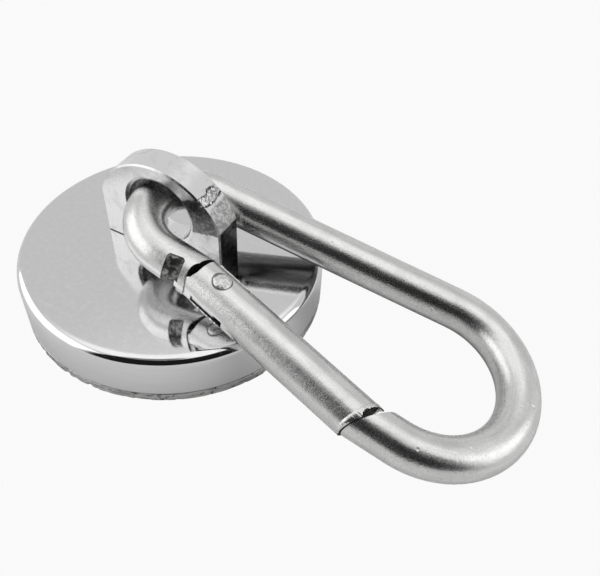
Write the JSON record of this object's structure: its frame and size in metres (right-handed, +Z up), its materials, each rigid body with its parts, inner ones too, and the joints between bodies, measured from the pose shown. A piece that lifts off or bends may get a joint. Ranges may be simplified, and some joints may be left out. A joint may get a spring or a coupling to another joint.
{
  "type": "magnet fishing magnet",
  "caption": "Round pot magnet with a flat eye lug and a sprung snap hook, for pulling steel things out of water on a rope.",
  "frame": {"origin": "centre of the magnet's working face, which is the face it rests on", "axes": "+Z up through the eye, +Y square to the eye's flat faces, +X the side that the hook leans to"},
  "size_m": [0.1062, 0.06, 0.0312],
  "materials": {
    "pot_plating": "polished bright plating",
    "magnet": "ground and nickel plated",
    "resin": "cured potting resin",
    "lug_plating": "polished plating over a cast surface",
    "hook_steel": "satin zinc plating",
    "gate_steel": "satin zinc plating, a little rubbed",
    "rivet_steel": "peened bare steel",
    "plunger_steel": "turned",
    "spring_steel": "drawn wire"
  },
  "bodies": {
    "magnet": {"pot_cup": "pot_plating", "magnet_ring": "magnet", "rim_resin": "resin", "core_resin": "resin", "eye_lug": "lug_plating"},
    "hook": {"hook_frame": "hook_steel"},
    "gate_assembly": {"gate": "gate_steel", "gate_rivet": "rivet_steel", "gate_spring": "spring_steel"},
    "plunger": {"gate_plunger": "plunger_steel"}
  },
  "joints": [
    {"name": "hook_swing", "type": "hinge", "parent": "magnet", "child": "hook", "pos_m": [0, 0, 0.0214], "axis": [0, -1, 0], "range_deg": [0, 203]},
    {"name": "gate_open", "type": "hinge", "parent": "hook", "child": "gate_assembly", "pos_m": [0.01916, -0.0123, 0.01789], "axis": [0.2334, 0, 0.9724], "range_deg": [0, 26], "stiffness_Nm_per_rad": 0.04, "springref_deg": -34.38},
    {"name": "plunger_slide", "type": "slide", "parent": "gate_assembly", "child": "plunger", "axis": [0.9539, -0.1942, -0.229], "range_m": [0, 0.00101], "deforming": ["gate_spring"]}
  ],
  "couplings": [
    {"joint": "plunger_slide", "follows": "gate_open", "m_per_rad": 0.0022037}
  ]
}
